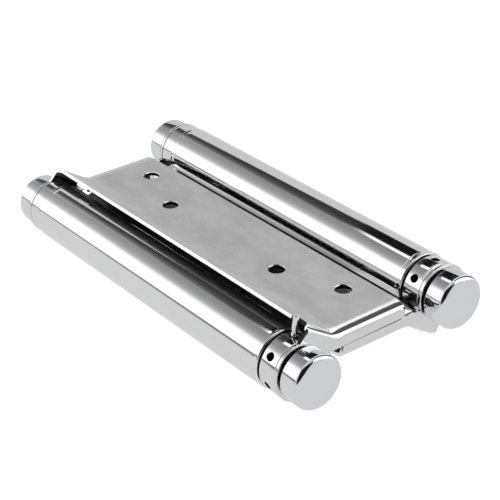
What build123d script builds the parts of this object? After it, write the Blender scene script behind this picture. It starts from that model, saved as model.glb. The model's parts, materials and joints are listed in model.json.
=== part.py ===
from build123d import *
from math import cos, hypot, radians, sin
import os

# A double action spring hinge for a cafe door, closed, with its two leaves folded over the
# centre piece. X runs across the barrels, Y along them and Z through the leaves. The origin is
# the middle of the hinge. The rear half is the front half turned half a turn about Y, so each
# piece is drawn once, on planes that belong to its half.

# Driving dimensions, millimetres and degrees
leaf_length = 127.0
sheet = 1.2
barrel_pitch = 51.7
barrel_tilt = 4.9
tube_radius = 9.05
tube_wall = 1.2
spindle_radius = 3.0

# Clearances between pieces that move on each other
running_gap = 0.06
end_gap = 0.1
leaf_gap = 0.3
lip_gap = 2.4
web_gap = 2.7
edge_gap = 5.2

# Proportions of the leaf
outer_bend = 2.0
lip_angle = 33.5
lip_bend = 4.5
lip_drop = 2.55
flange_lean = 0.5
ear_drop = 0.2
ear_blend = 0.7
notch_depth = 1.75
notch_radius = 3.35
tab_length = 5.5
tab_drop = 0.8
tab_thickness = 1.2
tab_inset = 13.3
screw_radius = 2.45
outer_screw_spacing = 95.2
inner_screw_spacing = 53.2
outer_screw_across = 3.5
inner_screw_across = -3.7
screw_shift = 1.2

# Proportions of the barrel
seam = 0.4
seam_overcut = 1.2
washer_thickness = 0.65
washer_inset = 1.45
washer_play = 0.7
collar_length = 6.15
collar_inset = 0.35
bush_length = 4.5
plug_length = 3.5
spigot_length = 7.0
spigot_radius = 4.3
spring_wire = 1.9
spring_pitch = 5.6
spring_clearance = 0.45
neck_length = 0.8
neck_inset = 2.4
cap_length = 6.7
cap_inset = 0.9
cap_round = 1.5
cap_floor = 1.8
spindle_chamfer = 0.4
pin_hole_count = 6
pin_hole_radius = 1.25
pin_hole_angle = 8.6
pin_hole_floor = 5.6
pin_hole_inset = 3.4
pin_radius = 0.85
front_pin_reach = 14.8
rear_pin_reach = 12.6
pin_tip = 0.25

# Worked out from them
half_leaf = leaf_length / 2
ear_face = half_leaf - sheet
axis_x = barrel_pitch / 2 * cos(radians(barrel_tilt))
axis_z = barrel_pitch / 2 * sin(radians(barrel_tilt))
tube_bore = tube_radius - tube_wall
web_half = tube_wall / 2
plate_inner = web_half + web_gap
plate_outer = plate_inner + sheet
free_edge = axis_x - tube_radius - edge_gap
collar_radius = tube_radius - collar_inset
collar_near = ear_face - end_gap
collar_far = collar_near - collar_length
pin_station = collar_near - pin_hole_inset
washer_radius = tube_radius - washer_inset
washer_bore = spigot_radius + washer_play
tube_near = collar_far - end_gap - washer_thickness
tube_far = ear_face - end_gap - bush_length
spring_outer = tube_bore - spring_clearance
neck_radius = tube_radius - neck_inset
neck_end = half_leaf + neck_length
cap_radius = tube_radius - cap_inset
cap_end = neck_end + cap_length
spindle_end = cap_end - cap_floor
ear_radius = tube_radius - ear_drop
lip_rise = ear_radius - lip_drop

# The lip leans away from the plate and passes the tube at the lip gap
lip_along = Vector(-cos(radians(lip_angle)), sin(radians(lip_angle)))
lip_across = Vector(-sin(radians(lip_angle)), -cos(radians(lip_angle)))
lip_distance = tube_radius + lip_gap + sheet
lip_foot_x = -axis_x - lip_across.X * lip_distance
lip_foot_z = -axis_z - lip_across.Y * lip_distance
bend_reach = (plate_outer - lip_foot_z) / lip_along.Y
lip_bend_x = lip_foot_x + bend_reach * lip_along.X
lip_length = lip_rise / lip_along.Y


def lip_point(along, depth):
    """A point on the section of the front leaf's lip, from the bend and below its outer face."""
    x = lip_bend_x + along * lip_along.X + depth * lip_across.X
    z = plate_outer + along * lip_along.Y + depth * lip_across.Y
    return (x, z)


def half_plane(side, y):
    """The section plane of a half at a station along Y: side 1 is the front half, -1 the rear."""
    return Plane(origin=(0, y, 0), x_dir=(side, 0, 0), z_dir=(0, -1, 0))


def barrel_plane(side, y):
    """The same plane with its origin on that half's barrel axis."""
    return Plane(origin=(-side * axis_x, y, -side * axis_z), x_dir=(side, 0, 0), z_dir=(0, -1, 0))


def write(piece, name):
    piece.part.label = name
    export_step(piece.part, f"parts/{name}.step")


def ring(side, start, end, outer, inner):
    """A plain ring on a barrel axis between two stations."""
    with BuildPart() as piece:
        with BuildSketch(barrel_plane(side, end)):
            Circle(outer)
            Circle(inner, mode=Mode.SUBTRACT)
        extrude(amount=end - start)
    return piece


def leaf(side):
    """A pressed leaf: plate, lip beside the barrel, and both ends bent down into plates with ears."""
    tip_out = lip_point(lip_length, 0)
    tip_in = lip_point(lip_length, sheet)
    inner_bend = lip_point(0, 0)
    inner_x = inner_bend[0] - sheet * (1 - cos(radians(lip_angle))) / sin(radians(lip_angle))
    beyond = lip_point(lip_length + sheet, sheet)
    far_below = plate_inner - barrel_pitch
    with BuildPart() as piece:
        with BuildSketch(half_plane(side, half_leaf)):
            with BuildLine():
                Polyline(
                    (free_edge - flange_lean, leaf_gap / 2),
                    (free_edge, plate_outer),
                    inner_bend,
                    tip_out,
                    tip_in,
                    (tip_in[0] - sheet, tip_in[1] - sheet),
                    (-axis_x, -axis_z),
                    (-axis_x + ear_radius / 2, leaf_gap / 2),
                    close=True,
                )
            make_face()
        extrude(amount=leaf_length)
        bends = piece.edges().filter_by(Axis.Y).group_by(
            lambda edge: hypot(side * edge.center().X - inner_bend[0], side * edge.center().Z - inner_bend[1])
        )[0]
        fillet(bends, lip_bend)
        end_edges = [
            edge
            for edge in piece.edges().filter_by(Axis.Y, reverse=True)
            if side * edge.center().Z > plate_outer - running_gap
            and abs(abs(edge.center().Y) - half_leaf) < running_gap
            and side * edge.center().X > tip_out[0] + running_gap
        ]
        fillet(end_edges, outer_bend)
        with BuildSketch(half_plane(side, ear_face)):
            with BuildLine():
                Polyline(
                    (free_edge + sheet, far_below),
                    (free_edge + sheet, plate_inner),
                    (inner_x, plate_inner),
                    beyond,
                    (beyond[0] - barrel_pitch, beyond[1]),
                    (beyond[0] - barrel_pitch, far_below),
                    close=True,
                )
            make_face()
            inner_corner = [
                corner
                for corner in vertices()
                if abs(corner.Z - side * plate_inner) < running_gap
                and abs(corner.X - side * inner_x) < running_gap
            ]
            fillet(inner_corner, lip_bend + sheet)
        extrude(amount=2 * ear_face, mode=Mode.SUBTRACT)
        for end in (half_leaf, -ear_face):
            with BuildSketch(barrel_plane(side, end)):
                Circle(ear_radius)
            extrude(amount=sheet)
        ear_corners = [
            edge
            for edge in piece.edges().filter_by(Axis.Y)
            if abs(side * edge.center().Z - leaf_gap / 2) < running_gap
            and side * edge.center().X < inner_bend[0]
        ]
        fillet(ear_corners, ear_blend)
        for end in (half_leaf, -ear_face):
            with BuildSketch(barrel_plane(side, end)):
                Circle(spindle_radius)
            extrude(amount=sheet, mode=Mode.SUBTRACT)
        notch_middle = lip_point(lip_length + notch_radius - notch_depth, 0)
        notch_plane = Plane(
            origin=(side * notch_middle[0], -pin_station, side * notch_middle[1]),
            x_dir=(side * lip_along.X, 0, side * lip_along.Y),
            z_dir=(-side * lip_across.X, 0, -side * lip_across.Y),
        )
        with BuildSketch(notch_plane):
            Circle(notch_radius)
        extrude(amount=2 * sheet, both=True, mode=Mode.SUBTRACT)
        tab_start = lip_point(lip_length, sheet)
        tab_edge = lip_point(lip_length - tab_thickness, sheet)
        tab_low = lip_point(lip_length, sheet + tab_drop)
        tab_foot = lip_point(lip_length - tab_thickness, sheet + tab_drop)
        with BuildSketch(half_plane(side, half_leaf - tab_inset)):
            with BuildLine():
                Polyline(tab_start, tab_edge, tab_foot, tab_low, close=True)
            make_face()
        extrude(amount=tab_length)
        screws = (
            (outer_screw_across, outer_screw_spacing),
            (inner_screw_across, inner_screw_spacing),
        )
        plate_plane = Plane(
            origin=(0, screw_shift, side * plate_inner), x_dir=(side, 0, 0), z_dir=(0, 0, side)
        )
        for across, spacing in screws:
            with BuildSketch(plate_plane):
                with Locations((across, spacing / 2), (across, -spacing / 2)):
                    Circle(screw_radius)
            extrude(amount=sheet, mode=Mode.SUBTRACT)
    return piece


def centre_piece():
    """One sheet rolled into both tubes, with the flat web between them."""
    with BuildPart() as piece:
        with BuildSketch(half_plane(1, tube_far)):
            Rectangle(2 * (axis_x - tube_radius + tube_wall), tube_wall)
            for side in (1, -1):
                with Locations((-side * axis_x, -side * axis_z)):
                    Circle(tube_radius)
            for side in (1, -1):
                with Locations((-side * axis_x, -side * axis_z)):
                    Circle(tube_bore, mode=Mode.SUBTRACT)
                with Locations((-side * (axis_x - tube_radius), -side * (web_half + seam / 2))):
                    Rectangle(2 * (tube_wall + seam_overcut), seam, mode=Mode.SUBTRACT)
        extrude(amount=tube_far + tube_near)
    return piece


def collar(side):
    """The adjusting collar, with its ring of pin holes and the spigot that turns the spring."""
    with BuildPart() as piece:
        with BuildSketch(barrel_plane(side, -collar_far)):
            Circle(collar_radius)
        extrude(amount=collar_length)
        with BuildSketch(barrel_plane(side, -collar_far + spigot_length)):
            Circle(spigot_radius)
        extrude(amount=spigot_length)
        with BuildSketch(barrel_plane(side, -collar_far + spigot_length)):
            Circle(spindle_radius + running_gap)
        extrude(amount=spigot_length + collar_length, mode=Mode.SUBTRACT)
        for hole in range(pin_hole_count):
            angle = radians(pin_hole_angle + 360 / pin_hole_count * hole)
            with BuildSketch(pin_plane(side, angle, pin_hole_floor)):
                Circle(pin_hole_radius)
            extrude(amount=collar_radius, mode=Mode.SUBTRACT)
    return piece


def pin_plane(side, angle, radius):
    """A plane square to a pin hole, at a radius from that half's barrel axis."""
    outward = Vector(side * sin(angle), 0, side * cos(angle))
    middle = Vector(-side * axis_x, -pin_station, -side * axis_z)
    return Plane(origin=middle + outward * radius, x_dir=(0, 1, 0), z_dir=outward)


def tension_pin(side):
    """The pin that stands in one hole of the collar."""
    reach = front_pin_reach if side > 0 else rear_pin_reach
    with BuildPart() as piece:
        with BuildSketch(pin_plane(side, radians(pin_hole_angle), pin_hole_floor)):
            Circle(pin_radius)
        extrude(amount=reach - pin_hole_floor)
        chamfer(piece.edges(), pin_tip)
    return piece


def bush(side):
    """The fixed bush at the far end of a tube, which holds the other end of the spring."""
    with BuildPart() as piece:
        with BuildSketch(barrel_plane(side, tube_far + bush_length)):
            Circle(collar_radius)
        extrude(amount=bush_length)
        with BuildSketch(barrel_plane(side, tube_far)):
            Circle(tube_bore)
        extrude(amount=plug_length)
        with BuildSketch(barrel_plane(side, tube_far)):
            Circle(spigot_radius)
        extrude(amount=spigot_length)
        with BuildSketch(barrel_plane(side, tube_far + bush_length)):
            Circle(spindle_radius + running_gap)
        extrude(amount=spigot_length + bush_length, mode=Mode.SUBTRACT)
    return piece


def spring(side):
    """The square wire coil between the collar and the bush."""
    start = -tube_near + spring_wire / 2 + end_gap
    end = tube_far - plug_length - spring_wire / 2 - end_gap
    middle_radius = spring_outer - spring_wire / 2
    axis_start = (-side * axis_x, start, -side * axis_z)
    with BuildPart() as piece:
        with BuildLine() as route:
            Helix(
                pitch=spring_pitch,
                height=end - start,
                radius=middle_radius,
                center=axis_start,
                direction=(0, 1, 0),
            )
        with BuildSketch(Plane(origin=route.line @ 0, z_dir=route.line % 0, x_dir=(0, 1, 0))):
            Rectangle(spring_wire, spring_wire)
        sweep(is_frenet=True)
    return piece


def spindle(side):
    """The rod through a barrel, held in both caps."""
    with BuildPart() as piece:
        with BuildSketch(barrel_plane(side, spindle_end)):
            Circle(spindle_radius)
        extrude(amount=2 * spindle_end)
        chamfer(piece.edges().filter_by(GeomType.CIRCLE), spindle_chamfer)
    return piece


def cap(side, end):
    """An end cap with a blind bore for the spindle: end 1 is the far one, -1 the near one."""
    with BuildPart() as piece:
        outer_face = cap_end if end > 0 else -neck_end
        with BuildSketch(barrel_plane(side, outer_face)):
            Circle(cap_radius)
        extrude(amount=cap_length)
        rim = piece.edges().filter_by(GeomType.CIRCLE).sort_by(Axis.Y)[-1 if end > 0 else 0]
        fillet(rim, cap_round)
        bore_face = spindle_end if end > 0 else -neck_end
        with BuildSketch(barrel_plane(side, bore_face)):
            Circle(spindle_radius)
        extrude(amount=spindle_end - neck_end, mode=Mode.SUBTRACT)
    return piece


os.makedirs("parts", exist_ok=True)
write(centre_piece(), "centre_piece")
for half, side in (("front", 1), ("rear", -1)):
    write(leaf(side), f"{half}_leaf")
    write(collar(side), f"{half}_collar")
    write(tension_pin(side), f"{half}_pin")
    write(bush(side), f"{half}_bush")
    write(spring(side), f"{half}_spring")
    write(spindle(side), f"{half}_spindle")
    write(ring(side, -collar_far + end_gap, -tube_near, washer_radius, washer_bore), f"{half}_washer")
    write(ring(side, half_leaf, neck_end, neck_radius, spindle_radius), f"{half}_far_neck")
    write(ring(side, -neck_end, -half_leaf, neck_radius, spindle_radius), f"{half}_near_neck")
    write(cap(side, 1), f"{half}_far_cap")
    write(cap(side, -1), f"{half}_near_cap")
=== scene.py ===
import json
from math import atan, atan2, cos, pi, radians, sin, sqrt, tan

import bpy
from mathutils import Matrix, Vector


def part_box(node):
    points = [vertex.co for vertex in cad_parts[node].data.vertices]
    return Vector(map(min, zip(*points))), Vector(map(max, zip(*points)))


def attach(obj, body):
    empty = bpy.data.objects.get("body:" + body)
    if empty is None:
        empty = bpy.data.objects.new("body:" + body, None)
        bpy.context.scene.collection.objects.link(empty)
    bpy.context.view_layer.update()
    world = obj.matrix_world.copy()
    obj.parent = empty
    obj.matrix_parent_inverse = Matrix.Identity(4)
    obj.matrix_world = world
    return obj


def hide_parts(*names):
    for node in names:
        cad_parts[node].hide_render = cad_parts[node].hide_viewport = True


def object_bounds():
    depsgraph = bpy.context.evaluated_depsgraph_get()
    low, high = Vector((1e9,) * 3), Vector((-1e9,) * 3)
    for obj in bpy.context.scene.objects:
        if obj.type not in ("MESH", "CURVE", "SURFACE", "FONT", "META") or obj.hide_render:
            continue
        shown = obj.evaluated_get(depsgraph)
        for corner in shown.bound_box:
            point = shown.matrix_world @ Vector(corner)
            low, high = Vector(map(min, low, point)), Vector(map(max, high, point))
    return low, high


# Looks of the double action hinge: polished barrels, satin pressed leaves and studio light.
# The hinge's sizes are in millimetres until a mesh is placed, and the studio's are in metres.
# The front half is modelled once, and the rear half is a copy turned half a turn about Y.

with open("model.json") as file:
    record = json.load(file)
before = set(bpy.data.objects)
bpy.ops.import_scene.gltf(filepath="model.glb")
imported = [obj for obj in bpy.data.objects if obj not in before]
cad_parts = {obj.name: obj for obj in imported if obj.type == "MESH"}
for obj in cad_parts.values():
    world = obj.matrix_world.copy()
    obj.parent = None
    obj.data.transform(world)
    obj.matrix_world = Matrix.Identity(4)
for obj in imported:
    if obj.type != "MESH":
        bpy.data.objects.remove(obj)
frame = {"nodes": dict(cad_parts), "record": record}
cad_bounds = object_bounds()

MM = 0.001

# Sizes read from the solids
centre_low, centre_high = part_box("centre_piece")
spindle_low, spindle_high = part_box("front_spindle")
collar_low, collar_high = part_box("front_collar")
washer_low, washer_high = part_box("front_washer")
neck_low, neck_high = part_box("front_near_neck")
cap_low, cap_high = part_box("front_near_cap")
bush_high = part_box("front_bush")[1]
leaf_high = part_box("front_leaf")[1]

axis_x = (spindle_low.x + spindle_high.x) / 2 / MM
axis_z = (spindle_low.z + spindle_high.z) / 2 / MM
tube_radius = axis_x - centre_low.x / MM
tube_near = centre_low.y / MM
tube_far = centre_high.y / MM
collar_radius = (collar_high.x - collar_low.x) / 2 / MM
collar_near = collar_low.y / MM
washer_radius = (washer_high.x - washer_low.x) / 2 / MM
washer_near = washer_low.y / MM
neck_radius = (neck_high.x - neck_low.x) / 2 / MM
neck_near = neck_low.y / MM
cap_radius = (cap_high.x - cap_low.x) / 2 / MM
cap_near = cap_low.y / MM
bush_far = bush_high.y / MM
leaf_end = leaf_high.y / MM
leaf_top = leaf_high.z / MM
free_edge = leaf_high.x / MM

# Sizes of the barrels' pieces
tube_wall = 1.2
running_gap = 0.1
spindle_radius = 3.0
washer_bore = 5.0
pin_y = -58.8
pin_hole_radius = 1.25
pin_hole_angle = radians(8.6)
pin_hole_floor = 5.6
pin_hole_count = 6
pin_radius = 0.85
front_pin_reach = 14.8
rear_pin_reach = 12.6

# Sizes of the pressed leaf
sheet = 1.2
edge_round = 0.16
block_round = 0.15
plate_outer = 4.5
leaf_gap = 0.3
end_bend = 1.93
dip_reach = 4.5
dip_depth = 0.55
ear_radius = tube_radius - 0.2
ear_blend = 0.7
flange_lean = 0.5
screw_radius = 2.45
screw_chamfer = 0.2
screw_shift = 1.2
outer_screws = (3.5, 47.6)
inner_screws = (-3.7, 26.6)
notch_radius = 3.35
notch_depth = 1.75
tab_from = 44.7
tab_to = 50.6
tab_drop = 0.75
tab_overlap = 0.3

# The lip, with the outer and the inner corner of its tip
lip_angle = radians(33.5)
lip_bend = 8.0
lip_foot = -12.96
lip_length = (leaf_top - plate_outer) / sin(lip_angle)
tip_x = lip_foot - lip_length * cos(lip_angle)
tip_z = plate_outer + lip_length * sin(lip_angle)
inner_tip_x = tip_x - sheet * sin(lip_angle)
inner_tip_z = tip_z - sheet * cos(lip_angle)


# Modelling helpers


def deselect():
    bpy.ops.object.select_all(action="DESELECT")


def select(piece):
    """Selects this piece alone and makes it the active one."""
    deselect()
    piece.select_set(True)
    bpy.context.view_layer.objects.active = piece


def settle(piece):
    """Puts the piece's place, turn and size into its mesh."""
    select(piece)
    bpy.ops.object.transform_apply(location=True, rotation=True, scale=True)


def merge(piece):
    """Merges the piece's doubles and turns its faces outwards."""
    select(piece)
    bpy.ops.object.mode_set(mode="EDIT")
    bpy.ops.mesh.select_all(action="SELECT")
    bpy.ops.mesh.remove_doubles(threshold=1e-6)
    bpy.ops.mesh.normals_make_consistent(inside=False)
    bpy.ops.object.mode_set(mode="OBJECT")


def smooth(piece, angle=32):
    """Shades the piece smooth, apart from edges sharper than an angle in degrees."""
    select(piece)
    bpy.ops.object.shade_smooth_by_angle(angle=radians(angle))


def apply_modifier(piece, kind, **settings):
    select(piece)
    modifier = piece.modifiers.new(kind.title(), kind)
    for key, value in settings.items():
        setattr(modifier, key, value)
    bpy.ops.object.modifier_apply(modifier=modifier.name)


def soften(piece, width, angle, segments=3):
    """Rounds the edges that are sharper than an angle in degrees."""
    apply_modifier(
        piece,
        "BEVEL",
        width=width * MM,
        segments=segments,
        limit_method="ANGLE",
        angle_limit=radians(angle),
    )


def combine(piece, other, operation):
    """Adds another piece to this one or cuts it away, and removes the other."""
    apply_modifier(piece, "BOOLEAN", operation=operation, object=other, solver="EXACT")
    bpy.data.objects.remove(other, do_unlink=True)


def cut(piece, cutter, direction, wall, rim):
    """Cuts along a direction. The straight walls get one finish of the piece, the rest another."""
    slant = 0.1
    for material in piece.data.materials:
        cutter.data.materials.append(material)
    for face in cutter.data.polygons:
        straight = abs(face.normal.dot(Vector(direction))) <= slant
        face.material_index = wall if straight else rim
    combine(piece, cutter, "DIFFERENCE")


def rounded(y, radius, size, turn_from, turn_to, steps=6):
    """Stations round an edge: the rounding's centre and size, and angles in degrees from Y."""
    stations = []
    for step in range(steps + 1):
        angle = radians(turn_from + (turn_to - turn_from) * step / steps)
        stations.append((y + size * cos(angle), radius + size * sin(angle)))
    return stations


def turned(name, stations, closed=False, segments=192):
    """A piece turned on the front barrel's axis: a ring, extruded and scaled by station.

    A station is a place on Y and a radius. A closed piece has a bore and ends where it starts.
    """
    deselect()
    y, radius = stations[0]
    bpy.ops.mesh.primitive_circle_add(
        vertices=segments,
        radius=radius * MM,
        location=Vector((axis_x, y, axis_z)) * MM,
        rotation=(pi / 2, 0, 0),
    )
    piece = bpy.context.object
    piece.name = name
    settle(piece)
    bpy.ops.object.mode_set(mode="EDIT")
    bpy.ops.mesh.select_all(action="SELECT")
    if not closed:
        bpy.ops.mesh.edge_face_add()
        bpy.ops.mesh.select_all(action="SELECT")
    route = stations[1:] + stations[:1] if closed else stations[1:]
    for next_y, next_radius in route:
        bpy.ops.mesh.extrude_region_move(
            TRANSFORM_OT_translate={"value": (0, (next_y - y) * MM, 0)}
        )
        ratio = next_radius / radius
        bpy.ops.transform.resize(
            value=(ratio, 1, ratio), center_override=Vector((axis_x, next_y, axis_z)) * MM
        )
        y, radius = next_y, next_radius
    bpy.ops.object.mode_set(mode="OBJECT")
    merge(piece)
    smooth(piece)
    return piece


def rod(name, radius, start, direction, length, segments):
    """A round bar from a point along a direction."""
    deselect()
    toward = Vector(direction).normalized()
    bpy.ops.mesh.primitive_cylinder_add(
        vertices=segments,
        radius=radius * MM,
        depth=length * MM,
        location=(Vector(start) + toward * length / 2) * MM,
        rotation=toward.to_track_quat("Z", "Y").to_euler(),
    )
    bar = bpy.context.object
    bar.name = name
    settle(bar)
    return bar


def drill(radius, start, direction, length, surface, chamfer, segments):
    """A cutter for a round hole, with a chamfer at the surface that lies so far from its start."""
    cutter = rod("drill", radius, start, direction, length, segments)
    toward = Vector(direction).normalized()
    deselect()
    bpy.ops.mesh.primitive_cone_add(
        vertices=segments,
        radius1=radius * MM,
        radius2=(radius + 2 * chamfer) * MM,
        depth=2 * chamfer * MM,
        location=(Vector(start) + toward * surface) * MM,
        rotation=toward.to_track_quat("Z", "Y").to_euler(),
    )
    cone = bpy.context.object
    settle(cone)
    combine(cutter, cone, "UNION")
    return cutter


def make_block(name, low, high):
    """A small block between two corners, with softened edges."""
    deselect()
    low, high = Vector(low), Vector(high)
    bpy.ops.mesh.primitive_cube_add(
        size=1.0, location=(low + high) / 2 * MM, scale=(high - low) * MM
    )
    block = bpy.context.object
    block.name = name
    settle(block)
    soften(block, block_round, 50)
    smooth(block, 40)
    return block


def copied(piece, name, move):
    """A copy with its own mesh, moved by a matrix."""
    copy = piece.copy()
    copy.data = piece.data.copy()
    copy.data.transform(move)
    copy.name = name
    bpy.context.collection.objects.link(copy)
    return copy


# The barrels' pieces


def make_tube():
    """The rolled tube, with an open bore and a rounded bead at each rim."""
    inner_edge = 0.1
    rim_long, rim_deep, rim_steps = 0.5, 0.42, 8
    bead = [(0.8, 0), (1.0, 0.03), (1.25, 0.06), (1.5, 0.065), (1.8, 0.045), (2.2, 0.015), (2.7, 0)]
    rim = [(inner_edge, tube_wall), (0.0, tube_wall - inner_edge)]
    for step in range(rim_steps + 1):
        angle = pi / 2 * step / rim_steps
        rim.append((rim_long * (1 - cos(angle)), rim_deep * (1 - sin(angle))))
    rim += bead
    stations = [(tube_near + away, tube_radius - drop) for away, drop in rim]
    stations += [(tube_far - away, tube_radius - drop) for away, drop in reversed(rim)]
    return turned("front_tube", stations, closed=True, segments=256)


def pin_hole(angle):
    """The floor of a pin hole of the front collar, and its way out."""
    out = Vector((sin(angle), 0, cos(angle)))
    return Vector((axis_x, pin_y, axis_z)) + out * pin_hole_floor, out


def make_collar(finishes):
    """The adjusting collar with its ring of pin holes."""
    near = collar_near
    far = washer_near - running_gap
    bore = spindle_radius + running_gap
    edge, chamfer, drill_length = 0.28, 0.14, 6.0
    stations = [(near, bore)]
    stations += rounded(near + edge, collar_radius - edge, edge, 180, 90)
    stations += rounded(far - edge, collar_radius - edge, edge, 90, 0)
    stations += [(far, bore)]
    collar = turned("front_collar_piece", stations, closed=True)
    # The pin holes' walls take the second, nearly black finish: painted shade inside the holes.
    dress(collar, finishes["polished_collar"], finishes["painted_shade_wall"])
    surface = collar_radius - pin_hole_floor
    for hole in range(pin_hole_count):
        start, out = pin_hole(pin_hole_angle + 2 * pi * hole / pin_hole_count)
        cutter = drill(pin_hole_radius, start, out, drill_length, surface, chamfer, 40)
        cut(collar, cutter, out, wall=1, rim=0)
    smooth(collar)
    return collar


def make_pin(name, reach):
    """A tension pin of the front collar, with a rounded top."""
    top_round = 0.22
    start, out = pin_hole(pin_hole_angle)
    pin = rod(name, pin_radius, start, out, reach - pin_hole_floor, 40)
    soften(pin, top_round, 50, segments=4)
    smooth(pin, 40)
    return pin


def make_cap():
    """The near end cap, with a small edge at its ear and a full round at its end."""
    ear_edge, end_edge = 0.2, 1.5
    stations = [(neck_near, neck_radius)]
    stations += rounded(neck_near - ear_edge, cap_radius - ear_edge, ear_edge, 0, 90)
    stations += rounded(cap_near + end_edge, cap_radius - end_edge, end_edge, 90, 180, steps=16)
    return turned("front_near_cap_piece", stations)


def make_ring(name, start, end, outer, inner):
    """A ring between two places on Y, with chamfered outer edges."""
    edge = 0.12
    stations = [(start, inner), (start, outer - edge), (start + edge, outer), (end - edge, outer)]
    stations += [(end, outer - edge), (end, inner)]
    return turned(name, stations, closed=True)


def make_web():
    """The flat web of the centre piece, let into both tubes."""
    into_tube = tube_wall * 0.6
    reach = -axis_x - tube_radius + into_tube
    low, high = (-reach, tube_near, -tube_wall / 2), (reach, tube_far, tube_wall / 2)
    return make_block("web", low, high)


# The pressed leaf


def leaf_section():
    """The outer face from the free edge to the lip's tip, as points with their way inward."""
    plate_steps, bend_steps, lip_steps = 12, 10, 5
    tangent = lip_bend * tan(lip_angle / 2)
    points = []
    for step in range(plate_steps + 1):
        x = free_edge + (lip_foot + tangent - free_edge) * step / plate_steps
        points.append((x, plate_outer, 0.0, -1.0))
    for step in range(1, bend_steps + 1):
        angle = lip_angle * step / bend_steps
        x = lip_foot + tangent - lip_bend * sin(angle)
        z = plate_outer + lip_bend * (1 - cos(angle))
        points.append((x, z, -sin(angle), -cos(angle)))
    bend_x, bend_z, in_x, in_z = points[-1]
    for step in range(1, lip_steps + 1):
        along = (lip_length - tangent) * step / lip_steps
        points.append((bend_x + along * in_z, bend_z - along * in_x, in_x, in_z))
    return points


def end_stations():
    """Distances from the leaf's end, with the outer face's depth: soft dip, bend and flank."""
    dip_steps, bend_steps = 8, 14
    flank = 0.55
    dip_end_share = 0.674
    slope = atan(2 * dip_depth / (dip_reach - end_bend * dip_end_share))
    bend_start = end_bend * (1 - sin(slope))
    stations = []
    for step in range(dip_steps + 1):
        share = step / dip_steps
        stations.append((dip_reach + (bend_start - dip_reach) * share, dip_depth * share**2))
    for step in range(1, bend_steps + 1):
        angle = slope + (pi / 2 - slope) * step / bend_steps
        depth = dip_depth + end_bend * (cos(slope) - cos(angle))
        stations.append((end_bend * (1 - sin(angle)), depth))
    stations.append((0.0, dip_depth + end_bend * cos(slope) + flank))
    return stations


def make_leaf_skin():
    """The outer face of the plate, its lip and the bends at both ends, as one grid."""
    long_steps = 40
    section = leaf_section()
    ends = end_stations()
    half = leaf_end - dip_reach
    rows = [(-leaf_end + away, depth) for away, depth in reversed(ends)]
    rows += [(-half + 2 * half * step / long_steps, 0.0) for step in range(1, long_steps)]
    rows += [(leaf_end - away, depth) for away, depth in ends]
    last_column, last_row = len(section) - 1, len(rows) - 1
    deselect()
    bpy.ops.mesh.primitive_grid_add(x_subdivisions=last_column, y_subdivisions=last_row, size=2.0)
    skin = bpy.context.object
    skin.name = "front_leaf_sheet"
    for vertex in skin.data.vertices:
        column = round((vertex.co.x + 1) / 2 * last_column)
        row = round((vertex.co.y + 1) / 2 * last_row)
        x, z, in_x, in_z = section[last_column - column]
        y, depth = rows[row]
        vertex.co = Vector((x + in_x * depth, y, z + in_z * depth)) * MM
    return skin


def make_leaf_sheet(finishes):
    """The leaf with its thickness, softened edges, screw holes and notch."""
    leaf = make_leaf_skin()
    names = ["satin_leaf", "leaf_edge", "painted_shade_wall", "leaf_inside_painted_shade"]
    dress(leaf, *[finishes[name] for name in names])
    # The sheet's inside takes a dark finish: painted shade under the plate and the lip.
    edge, hole, inside = 1, 2, 3
    apply_modifier(
        leaf,
        "SOLIDIFY",
        thickness=sheet * MM,
        offset=-1.0,
        use_even_offset=True,
        material_offset=inside,
        material_offset_rim=edge,
    )
    soften(leaf, edge_round, 60)
    up = (0, 0, 1)
    drill_depth, drill_length = 3.0, 5.0
    # The screw holes' walls take the nearly black finish: painted shade inside the holes.
    for across, along in (outer_screws, inner_screws):
        for end in (1, -1):
            start = (across, screw_shift + end * along, plate_outer - drill_depth)
            cutter = drill(screw_radius, start, up, drill_length, drill_depth, screw_chamfer, 64)
            cut(leaf, cutter, up, wall=hole, rim=edge)
    over = notch_radius - notch_depth
    bite_reach = 4.0
    out = Vector((sin(lip_angle), 0, cos(lip_angle)))
    centre = Vector((tip_x - over * cos(lip_angle), pin_y, tip_z + over * sin(lip_angle)))
    bite = rod("bite", notch_radius, centre - out * bite_reach, out, 2 * bite_reach, 96)
    # The notch's walls take the nearly black finish too: painted shade.
    cut(leaf, bite, out, wall=hole, rim=hole)
    smooth(leaf, 35)
    return leaf


def arc(x, z, radius, start, end, steps):
    """Points on an arc in X and Z, between two angles from +X toward +Z."""
    angles = [start + (end - start) * step / steps for step in range(steps + 1)]
    return [(x + radius * cos(angle), z + radius * sin(angle)) for angle in angles]


def end_outline():
    """The end plate in X and Z: along the leaf, down to the ear, round it and along the gap."""
    bend_share, overlap = 0.95, 0.25
    depth = dip_depth + end_bend * bend_share + overlap
    outline = [(x + in_x * depth, z + in_z * depth) for x, z, in_x, in_z in leaf_section()]
    outline.append((inner_tip_x, inner_tip_z))
    slant = radians(225)
    way_x, way_z = cos(slant), sin(slant)
    from_x, from_z = inner_tip_x - axis_x, inner_tip_z - axis_z
    along = from_x * way_x + from_z * way_z
    reach = -along - sqrt(along**2 - (from_x**2 + from_z**2 - ear_radius**2))
    ear_start = atan2(from_z + way_z * reach, from_x + way_x * reach)
    blend_up = leaf_gap / 2 - ear_blend - axis_z
    blend_across = sqrt((ear_radius + ear_blend) ** 2 - blend_up**2)
    ear_end = atan2(blend_up, blend_across) + 2 * pi
    outline += arc(axis_x, axis_z, ear_radius, ear_start, ear_end, 96)
    blend_x, blend_z = axis_x + blend_across, axis_z + blend_up
    blend_start = atan2(-blend_up, -blend_across)
    outline += arc(blend_x, blend_z, ear_blend, blend_start, pi / 2, 8)[1:]
    outline.append((free_edge - flange_lean, leaf_gap / 2))
    return outline


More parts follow.
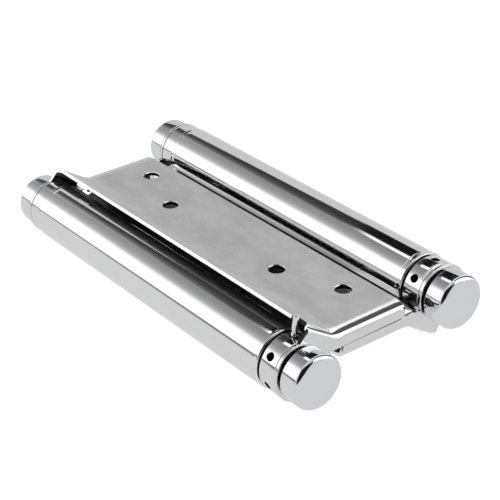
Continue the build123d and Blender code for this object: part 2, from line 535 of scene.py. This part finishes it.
def add_outline(curve, points):
    """Adds a closed outline to a flat curve, from points in X and Z."""
    outline = curve.splines.new("POLY")
    outline.points.add(len(points) - 1)
    for point, (x, z) in zip(outline.points, points):
        point.co = (x * MM, z * MM, 0, 1)
    outline.use_cyclic_u = True


def make_end_plate(name, middle_y, satin, slanted):
    """A flat end plate with its ear and softened edges. Its slanted edge has its own finish: on the
    near plate it is nearly black, which is painted shade.
    """
    inset = 0.012
    flat = bpy.data.curves.new(name, "CURVE")
    flat.dimensions = "2D"
    flat.fill_mode = "BOTH"
    add_outline(flat, end_outline())
    add_outline(flat, arc(axis_x, axis_z, spindle_radius, 0, 2 * pi, 64)[:-1])
    flat.extrude = (sheet / 2 - edge_round - inset) * MM
    flat.bevel_depth = edge_round * MM
    flat.bevel_resolution = 2
    flat.offset = -edge_round * MM
    plate = bpy.data.objects.new(name, flat)
    bpy.context.collection.objects.link(plate)
    select(plate)
    bpy.ops.object.convert(target="MESH")
    plate = bpy.context.object
    plate.rotation_euler = (pi / 2, 0, 0)
    plate.location = (0, middle_y * MM, 0)
    settle(plate)
    merge(plate)
    smooth(plate, 35)
    dress(plate, satin, slanted)
    past_ear, facing = 0.4, 0.6
    toward = Vector((-1, 0, 1)).normalized()
    axis = Vector((axis_x, middle_y, axis_z)) * MM
    # Faces of the slanted edge beyond the ear take the second finish. On the near plate this is
    # painted shade.
    for face in plate.data.polygons:
        beyond_ear = (face.center - axis).length > (ear_radius + past_ear) * MM
        if beyond_ear and face.normal.dot(toward) > facing:
            face.material_index = 1
    return plate


def make_tab(finish):
    """The small tab under the lip's edge near the far end."""
    low, high = (0.0, tab_from, -tab_drop), (sheet, tab_to, tab_overlap)
    tab = make_block("front_leaf_tab", low, high)
    tab.data.transform(Matrix.Rotation(lip_angle, 4, "Y"))
    tab.data.transform(Matrix.Translation(Vector((inner_tip_x, 0, inner_tip_z)) * MM))
    dress(tab, finish)
    return tab


# Shader helpers


class Amount:
    """A number socket of a shader, on which plain arithmetic adds Math nodes."""

    def __init__(self, finish, socket):
        self.finish = finish
        self.socket = socket

    def _math(self, operation, first, second):
        return self.finish.node("ShaderNodeMath", {"operation": operation}, {0: first, 1: second})

    def __add__(self, other):
        return self._math("ADD", self, other)

    __radd__ = __add__

    def __rsub__(self, other):
        return self._math("SUBTRACT", other, self)

    def __mul__(self, other):
        return self._math("MULTIPLY", self, other)

    __rmul__ = __mul__

    def between(self, low, high):
        """0 at the low value and 1 at the high one, with soft ends."""
        return self.finish.node(
            "ShaderNodeMapRange",
            {"interpolation_type": "SMOOTHSTEP", "clamp": True},
            {"Value": self, "From Min": low, "From Max": high},
        )


class Finish:
    """One material, with its principled shader and the nodes that feed it."""

    def __init__(self, name, metallic=0.0):
        self.material = bpy.data.materials.new(name)
        self.material.use_nodes = True
        self.tree = self.material.node_tree
        self.shader = self.tree.nodes["Principled BSDF"]
        self.shader.inputs["Metallic"].default_value = metallic

    def node(self, kind, settings, inputs, output=0):
        """Adds a node with its settings, then the values or links of its sockets."""
        made = self.tree.nodes.new(kind)
        for key, value in settings.items():
            setattr(made, key, value)
        for key, value in inputs.items():
            if isinstance(value, Amount):
                self.tree.links.new(value.socket, made.inputs[key])
            else:
                made.inputs[key].default_value = value
        return Amount(self, made.outputs[output])

    def place(self, stretch=(1, 1, 1)):
        """Object coordinates, with a factor for each axis."""
        where = self.node("ShaderNodeTexCoord", {}, {}, "Object")
        return self.node("ShaderNodeMapping", {}, {"Vector": where, "Scale": stretch})

    def noise(self, scale, stretch=(1, 1, 1), detail=3.0, roughness=0.5):
        place = self.place(stretch)
        inputs = {"Vector": place, "Scale": scale, "Detail": detail, "Roughness": roughness}
        return self.node("ShaderNodeTexNoise", {}, inputs, "Fac")

    def from_middle(self, axis):
        """How far a point lies from the middle of the hinge along an axis, in metres."""
        along = self.node("ShaderNodeSeparateXYZ", {}, {"Vector": self.place()}, axis)
        return self.node("ShaderNodeMath", {"operation": "ABSOLUTE"}, {0: along})

    def colour(self, amount, dark, light):
        inputs = {"Factor": amount, 6: (*dark, 1), 7: (*light, 1)}
        return self.node("ShaderNodeMix", {"data_type": "RGBA"}, inputs, 2)

    def feed(self, socket, value):
        self.tree.links.new(value.socket, self.shader.inputs[socket])

    def bump(self, height, strength, distance):
        inputs = {"Height": height, "Strength": strength, "Distance": distance}
        self.feed("Normal", self.node("ShaderNodeBump", {}, inputs))


# Finishes


def polished_finish(name, dark, light, smudge):
    """Mirror polish: faint drawn lines along the bar, soft smudges and a trace of wear."""
    finish = Finish(name, metallic=1.0)
    lines = finish.noise(420.0, stretch=(1.0, 0.02, 1.0), detail=4.0, roughness=0.6)
    smudges = finish.noise(65.0)
    finish.feed("Base Color", finish.colour(smudges, dark, light))
    finish.feed("Roughness", 0.045 + smudge * smudges + 0.035 * lines)
    finish.bump(lines, 0.03, 0.00002)
    return finish.material


def satin_finish(name):
    """Satin steel: fine grain and soft clouds on the plate, a painted sheen on the lip, and polish
    on its bent ends.
    """
    polish_from, polish_full = 0.0572, 0.0618
    sheen_from, sheen_full = 0.0118, 0.015
    dark, light = (0.44, 0.44, 0.444), (0.84, 0.842, 0.846)
    finish = Finish(name)
    grain = finish.noise(1900.0, detail=5.0, roughness=0.7)
    clouds = finish.noise(140.0, stretch=(1.0, 0.6, 1.0), detail=4.0, roughness=0.6)
    polish = finish.from_middle("Y").between(polish_from, polish_full)
    # Lighter colour beyond 11.8 to 15 mm from the middle across, which takes in the lip and its
    # bend: a painted sheen.
    lip_sheen = finish.from_middle("X").between(sheen_from, sheen_full)
    dull = 1.0 - polish
    mottle = 0.24 * clouds.between(0.3, 0.7) + 0.16 * grain.between(0.3, 0.7) + 0.12 * lip_sheen
    finish.feed("Base Color", finish.colour(mottle * dull + polish, dark, light))
    finish.feed("Metallic", 0.7 + 0.3 * polish)
    finish.feed("Roughness", (0.44 + 0.12 * clouds) * dull + 0.08 * polish)
    finish.bump((0.7 * grain + 0.3 * clouds) * dull, 0.12, 0.00006)
    return finish.material


def dark_steel_and_shade_finish(name, base):
    """Dark oiled steel of the spring, up to twice as light where it is worn. On the hole walls, the
    near plate's slanted edge, the leaf's inside and the washer ring, the same dark colour is
    painted shade.
    """
    finish = Finish(name, metallic=0.7)
    wear = finish.noise(240.0, detail=4.0)
    finish.feed("Base Color", finish.colour(wear, [base] * 3, [2 * base] * 3))
    finish.feed("Roughness", 0.35 + 0.2 * wear)
    finish.bump(wear, 0.1, 0.00005)
    return finish.material


def make_finishes():
    """Every finish by its name: those of the slots and of cut edges, and the painted shade of the
    hole walls and of the leaf's inside.
    """
    polished = {
        "polished_tube": ((0.86, 0.865, 0.87), (0.93, 0.93, 0.93), 0.03),
        "polished_collar": ((0.84, 0.845, 0.85), (0.91, 0.91, 0.91), 0.03),
        "polished_cap": ((0.83, 0.84, 0.87), (0.90, 0.91, 0.94), 0.02),
        "polished_pin": ((0.85, 0.85, 0.85), (0.92, 0.92, 0.92), 0.05),
        "leaf_edge": ((0.86, 0.86, 0.865), (0.93, 0.93, 0.93), 0.05),
    }
    # The hole walls' and the leaf inside's finishes are painted shade. The washer finish makes the
    # washer and neck rings nearly black, which is painted shade in the collar's groove. The
    # spring's steel is its own dark colour.
    dark = {"spring_steel": 0.12, "dark_washer": 0.012, "painted_shade_wall": 0.01, "leaf_inside_painted_shade": 0.12}
    finishes = {name: polished_finish(name, *look) for name, look in polished.items()}
    finishes["satin_leaf"] = satin_finish("satin_leaf")
    finishes.update({name: dark_steel_and_shade_finish(name, base) for name, base in dark.items()})
    return finishes


def dress(piece, *materials):
    """Gives a piece these materials alone, in this order."""
    piece.data.materials.clear()
    for material in materials:
        piece.data.materials.append(material)


# The hinge


def dress_frame_nodes(finishes):
    """Each node that still shows gets the finish of its slot."""
    slots = {entry["node"]: entry["material_slot"] for entry in frame["record"]["subparts"]}
    for node, piece in frame["nodes"].items():
        dress(piece, finishes[slots[node]])


def show(piece, finishes, body, slot, node):
    """Gives a piece the slot's finish if it has none, puts it on its body, and hides the CAD node
    it stands for.
    """
    if not piece.data.materials:
        dress(piece, finishes[slot])
    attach(piece, body)
    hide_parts(node)


def make_front_half(finishes):
    """The front half's pieces, each with its name, slot, body and CAD node but for the side."""
    satin, edge, painted_shade_wall = (finishes[name] for name in ("satin_leaf", "leaf_edge", "painted_shade_wall"))
    plate_y = leaf_end - sheet / 2
    bush_bore = spindle_radius + running_gap
    tab = make_tab(edge)
    # The near plate's slanted edge is nearly black: painted shade.
    near_plate = make_end_plate("near_end_plate", -plate_y, satin, painted_shade_wall)
    far_plate = make_end_plate("far_end_plate", plate_y, satin, edge)
    tube = make_tube()
    collar = make_collar(finishes)
    leaf = make_leaf_sheet(finishes)
    # The washer and neck rings take the nearly black washer finish. At the collar's groove this is
    # painted shade, and the necks by the caps are as dark.
    washer = make_ring("washer", washer_near, tube_near, washer_radius, washer_bore)
    near_neck = make_ring("near_neck", neck_near, -leaf_end, neck_radius, spindle_radius)
    far_neck = make_ring("far_neck", leaf_end, -neck_near, neck_radius, spindle_radius)
    bush = make_ring("bush", tube_far, bush_far, collar_radius, bush_bore)
    near_cap = make_cap()
    far_cap = copied(near_cap, "far_cap", Matrix.Scale(-1, 4, (0, 1, 0)))
    far_cap.data.flip_normals()
    return [
        (tube, "tube", "polished_tube", "centre", "centre_piece"),
        (collar, "collar", "polished_collar", "adjuster", "collar"),
        (leaf, "leaf_sheet", "satin_leaf", "leaf", "leaf"),
        (near_plate, "near_end_plate", "satin_leaf", "leaf", "leaf"),
        (far_plate, "far_end_plate", "satin_leaf", "leaf", "leaf"),
        (tab, "leaf_tab", "satin_leaf", "leaf", "leaf"),
        (washer, "washer_piece", "dark_washer", "centre", "washer"),
        (near_neck, "near_neck_piece", "dark_washer", "leaf", "near_neck"),
        (far_neck, "far_neck_piece", "dark_washer", "leaf", "far_neck"),
        (bush, "bush_piece", "polished_collar", "centre", "bush"),
        (near_cap, "near_cap_piece", "polished_cap", "leaf", "near_cap"),
        (far_cap, "far_cap_piece", "polished_cap", "leaf", "far_cap"),
    ]


def build_hinge():
    half_turn = Matrix.Rotation(pi, 4, "Y")
    finishes = make_finishes()
    dress_frame_nodes(finishes)
    for piece, name, slot, body, node in make_front_half(finishes):
        twin = copied(piece, f"rear_{name}", half_turn)
        piece.name = f"front_{name}"
        for side, made in (("front", piece), ("rear", twin)):
            on = body if body == "centre" else f"{side}_{body}"
            stands_for = node if node == "centre_piece" else f"{side}_{node}"
            show(made, finishes, on, slot, stands_for)
    front_pin = make_pin("front_pin_piece", front_pin_reach)
    show(front_pin, finishes, "front_adjuster", "polished_pin", "front_pin")
    rear_pin = make_pin("rear_pin_piece", rear_pin_reach)
    rear_pin.data.transform(half_turn)
    show(rear_pin, finishes, "rear_adjuster", "polished_pin", "rear_pin")
    show(make_web(), finishes, "centre", "polished_tube", "centre_piece")


# Studio


def glow(name, lights, far_lights):
    """Light that follows a ramp across a panel, and turns into the far ramp along it.

    A ramp is pairs of a place from 0 to 1 and a strength.
    """
    strongest = max(strength for place, strength in lights + far_lights)
    material = bpy.data.materials.new(name)
    material.use_nodes = True
    tree = material.node_tree
    tree.nodes.clear()
    out = tree.nodes.new("ShaderNodeOutputMaterial")
    light = tree.nodes.new("ShaderNodeEmission")
    blend = tree.nodes.new("ShaderNodeMix")
    blend.data_type = "RGBA"
    split = tree.nodes.new("ShaderNodeSeparateXYZ")
    where = tree.nodes.new("ShaderNodeTexCoord")
    tree.links.new(where.outputs["UV"], split.inputs[0])
    tree.links.new(split.outputs["Y"], blend.inputs["Factor"])
    for ramp_lights, socket in ((lights, 6), (far_lights, 7)):
        ramp = tree.nodes.new("ShaderNodeValToRGB")
        stops = ramp.color_ramp.elements
        while len(stops) < len(ramp_lights):
            stops.new(0.5)
        for stop, (place, strength) in zip(stops, ramp_lights):
            shade = strength / strongest
            stop.position = place
            stop.color = (shade, shade, shade, 1)
        tree.links.new(split.outputs["X"], ramp.inputs["Fac"])
        tree.links.new(ramp.outputs["Color"], blend.inputs[socket])
    light.inputs["Strength"].default_value = strongest
    tree.links.new(blend.outputs[2], light.inputs["Color"])
    tree.links.new(light.outputs[0], out.inputs["Surface"])
    return material


def only_reflected(piece):
    piece.visible_camera = False
    piece.visible_diffuse = False
    piece.visible_shadow = False


def panel(name, along, near, far, lights, far_lights=None):
    """A curved panel round the hinge, between two places on Y and two angles above +X at each."""
    distance = 0.6
    across_steps, along_steps = 24, 6
    deselect()
    bpy.ops.mesh.primitive_grid_add(
        x_subdivisions=across_steps, y_subdivisions=along_steps, size=2.0, calc_uvs=True
    )
    curved = bpy.context.object
    curved.name = name
    for vertex in curved.data.vertices:
        across, share = (vertex.co.x + 1) / 2, (vertex.co.y + 1) / 2
        low = near[0] + (far[0] - near[0]) * share
        high = near[1] + (far[1] - near[1]) * share
        angle = radians(low + (high - low) * across)
        y = along[0] + (along[1] - along[0]) * share
        vertex.co = Vector((distance * cos(angle), y, distance * sin(angle)))
    dress(curved, glow(name, lights, far_lights or lights))
    only_reflected(curved)


def even(strength):
    """A ramp with one strength all over."""
    return [(0.0, strength), (1.0, strength)]


def build_panels():
    """Panels that show in reflections alone, as the light and dark bands on both barrels."""
    black = even(0.008)
    dark = [(0.0, 0.05), (0.12, 0.035), (1.0, 0.04)]
    dark_far = [(0.0, 0.05), (0.35, 0.06), (0.7, 0.2), (1.0, 0.5)]
    strip = [(0.0, 0.02), (0.2, 1.2), (0.75, 1.2), (1.0, 0.25)]
    grey = [(0.0, 0.24), (0.15, 0.26), (0.5, 0.32), (0.75, 0.46), (0.9, 0.75), (1.0, 1.15)]
    grey_far = [(0.0, 0.4), (0.12, 0.32), (0.35, 0.38), (0.6, 0.45), (0.8, 0.65), (1.0, 1.2)]
    white = even(1.2)
    line = [(0.0, 0.9), (0.3, 0.22), (0.7, 0.18), (1.0, 0.5)]
    of_near_ends, of_barrels, beyond, whole = (0.33, 0.46), (0.46, 0.9), (0.9, 2.4), (0.1, 0.9)
    low_side = (-3, 76)
    panel("dark_side_near", of_near_ends, (36, 76), (38, 76), black)
    panel("dark_side", of_barrels, (42, 84), (66, 91), dark, dark_far)
    panel("strip", of_near_ends, (76, 90), (76, 90), strip)
    panel("grey_top_near", of_near_ends, (90, 134), (90, 134), grey)
    panel("grey_top", of_barrels, (84, 134), (91, 136), grey, grey_far)
    panel("grey_top_far", beyond, (91, 136), (91, 136), grey_far)
    panel("softbox", whole, (134, 167), (136, 177), white)
    panel("softbox_far", beyond, (136, 177), (136, 177), white)
    panel("low_line", whole, (167, 180), (177, 181), line)
    panel("near_glow", (0.17, 0.32), low_side, low_side, even(1.25))
    panel("dark_bar", (-0.1, 0.16), low_side, low_side, even(0.09))
    panel("front_card", (-0.75, -0.14), low_side, low_side, white)


def build_card():
    """A dark square card behind the camera, which the rims of the near caps mirror."""
    size, distance, strength = 0.9, 0.6, 0.01
    toward = Vector((-0.517, -0.707, 0.483)).normalized()
    deselect()
    bpy.ops.mesh.primitive_plane_add(
        size=size, location=toward * distance, rotation=toward.to_track_quat("Z", "Y").to_euler()
    )
    card = bpy.context.object
    card.name = "behind_camera"
    dress(card, glow(card.name, even(strength), even(strength)))
    only_reflected(card)


def floor(name, height, albedo, brightness):
    """A wide pale floor that also gives off some light, so that no edge of it shows."""
    deselect()
    bpy.ops.mesh.primitive_plane_add(size=8.0, location=(0, 0, height))
    plane = bpy.context.object
    plane.name = name
    material = bpy.data.materials.new(name)
    material.use_nodes = True
    shader = material.node_tree.nodes["Principled BSDF"]
    shader.inputs["Base Color"].default_value = (albedo, albedo, albedo, 1)
    shader.inputs["Roughness"].default_value = 1.0
    shader.inputs["Specular IOR Level"].default_value = 0.0
    shader.inputs["Emission Color"].default_value = (1, 1, 1, 1)
    shader.inputs["Emission Strength"].default_value = brightness
    dress(plane, material)
    return plane


def build_floors():
    """One floor for the camera, and a darker one just below it for the reflections."""
    lowest = cad_bounds[0].z
    step_down = 0.0001
    shown = floor("floor", lowest, 0.35, 0.85)
    shown.visible_glossy = False
    mirrored = floor("floor_in_reflections", lowest - step_down, 0.36, 0.3)
    mirrored.visible_camera = False
    mirrored.visible_shadow = False


def build_world():
    """White round the hinge for the camera, and a little darker for all other rays."""
    other_rays, camera_rays = 0.62, 1.0
    world = bpy.context.scene.world or bpy.data.worlds.new("studio")
    bpy.context.scene.world = world
    world.use_nodes = True
    tree = world.node_tree
    background = tree.nodes["Background"]
    background.inputs["Color"].default_value = (1, 1, 1, 1)
    ray = tree.nodes.new("ShaderNodeLightPath")
    strength = tree.nodes.new("ShaderNodeMapRange")
    strength.inputs["To Min"].default_value = other_rays
    strength.inputs["To Max"].default_value = camera_rays
    tree.links.new(ray.outputs["Is Camera Ray"], strength.inputs["Value"])
    tree.links.new(strength.outputs[0], background.inputs["Strength"])


def build_lamp():
    """A large soft light above the hinge, not mirrored in it."""
    place, size, watts = (0.1, 0.1, 0.9), 0.9, 9
    deselect()
    bpy.ops.object.light_add(type="AREA", location=place)
    lamp = bpy.context.object
    lamp.data.shape = "RECTANGLE"
    lamp.data.size = size
    lamp.data.size_y = size
    lamp.data.energy = watts
    lamp.visible_glossy = False


def build_camera():
    """The camera at the photograph's place, from its fitted yaw, pitch and roll."""
    barrel_tilt = 0.0857
    yaw, pitch, roll = 0.6025, 0.557, -0.112
    place = Vector((-0.2176, -0.32458, 0.24139))
    focal_pixels, sensor_pixels, sensor_width = 1516.95, 500, 36.0
    ahead = Vector((sin(yaw) * cos(pitch), cos(yaw) * cos(pitch), -sin(pitch)))
    right = Vector((cos(yaw), -sin(yaw), 0))
    up = right.cross(ahead)
    right_rolled = cos(roll) * right + sin(roll) * up
    up_rolled = -sin(roll) * right + cos(roll) * up
    turn = Matrix((right_rolled, up_rolled, -ahead)).transposed()
    lean = Matrix.Rotation(-barrel_tilt, 3, "Y")
    data = bpy.data.cameras.new("camera")
    data.sensor_width = sensor_width
    data.lens = focal_pixels * sensor_width / sensor_pixels
    data.clip_start = 0.01
    data.clip_end = 20
    camera = bpy.data.objects.new("camera", data)
    camera.matrix_world = Matrix.Translation(lean @ place) @ (lean @ turn).to_4x4()
    bpy.context.collection.objects.link(camera)
    bpy.context.scene.camera = camera
    bpy.context.scene.view_settings.view_transform = "Standard"


build_hinge()
build_floors()
build_world()
build_panels()
build_card()
build_lamp()
build_camera()
